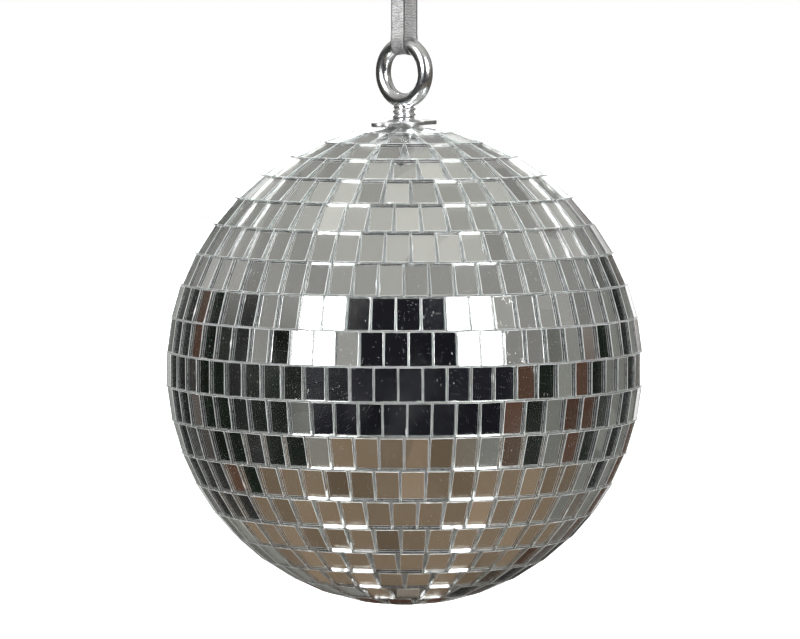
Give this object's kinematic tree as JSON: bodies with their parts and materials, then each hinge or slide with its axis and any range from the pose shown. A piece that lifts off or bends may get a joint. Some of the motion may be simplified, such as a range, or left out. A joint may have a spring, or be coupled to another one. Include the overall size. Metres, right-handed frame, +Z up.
{
  "type": "mirror ball",
  "caption": "Hollow ball faced with rows of flat mirror tiles, with a chromed eye bolt clamped through its top, hung in a loop of flat ribbon from a ceiling hook.",
  "frame": {"origin": "centre of the ceiling hook's shoulder, where it meets the ceiling", "axes": "+Z up; the eye's ring and the hook's bend lie in the XZ plane, and the hanger strap lies along Y"},
  "size_m": [0.1996, 0.1996, 0.3037],
  "materials": {
    "mirror_tiles": "silvered glass, polished, cut edges left raw",
    "moulded_core": "moulded, with glue smears",
    "chrome": "polished chrome plate",
    "zinc_steel": "bright zinc plate",
    "metallic_ribbon": "knitted from metallic yarn"
  },
  "bodies": {
    "hook": {"ceiling_hook": "zinc_steel"},
    "ribbon_top": {"ribbon_top_bight": "metallic_ribbon"},
    "ribbon": {"ribbon_front_strand": "metallic_ribbon", "ribbon_back_strand": "metallic_ribbon", "ribbon_bottom_bight": "metallic_ribbon"},
    "ball": {"mirror_row_01": "mirror_tiles", "mirror_row_02": "mirror_tiles", "mirror_row_03": "mirror_tiles", "mirror_row_04": "mirror_tiles", "mirror_row_05": "mirror_tiles", "mirror_row_06": "mirror_tiles", "mirror_row_07": "mirror_tiles", "mirror_row_08": "mirror_tiles", "mirror_row_09": "mirror_tiles", "mirror_row_10": "mirror_tiles", "mirror_row_11": "mirror_tiles", "mirror_row_12": "mirror_tiles", "mirror_row_13": "mirror_tiles", "mirror_row_14": "mirror_tiles", "mirror_row_15": "mirror_tiles", "mirror_row_16": "mirror_tiles", "mirror_row_17": "mirror_tiles", "mirror_row_18": "mirror_tiles", "mirror_row_19": "mirror_tiles", "mirror_row_20": "mirror_tiles", "mirror_row_21": "mirror_tiles", "bottom_polar_mirror": "mirror_tiles", "core_upper_half": "moulded_core", "core_lower_half": "moulded_core", "eye_bolt": "chrome", "hanger_strap": "chrome", "inner_crossbar": "zinc_steel", "spring_washer": "zinc_steel", "lock_nut": "zinc_steel"}
  },
  "joints": [
    {"name": "hook_swing", "type": "hinge", "parent": "hook", "child": "ribbon_top", "pos_m": [0, 0, -0.0295], "axis": [1, 0, 0], "range_deg": [-30, 30]},
    {"name": "ribbon_twist", "type": "hinge", "parent": "ribbon_top", "child": "ribbon", "pos_m": [0, 0, -0.0332], "axis": [0, 0, 1], "range_deg": [-180, 180]},
    {"name": "ring_swing", "type": "hinge", "parent": "ribbon", "child": "ball", "pos_m": [0, 0, -0.05285], "axis": [1, 0, 0], "range_deg": [-30, 30]}
  ]
}
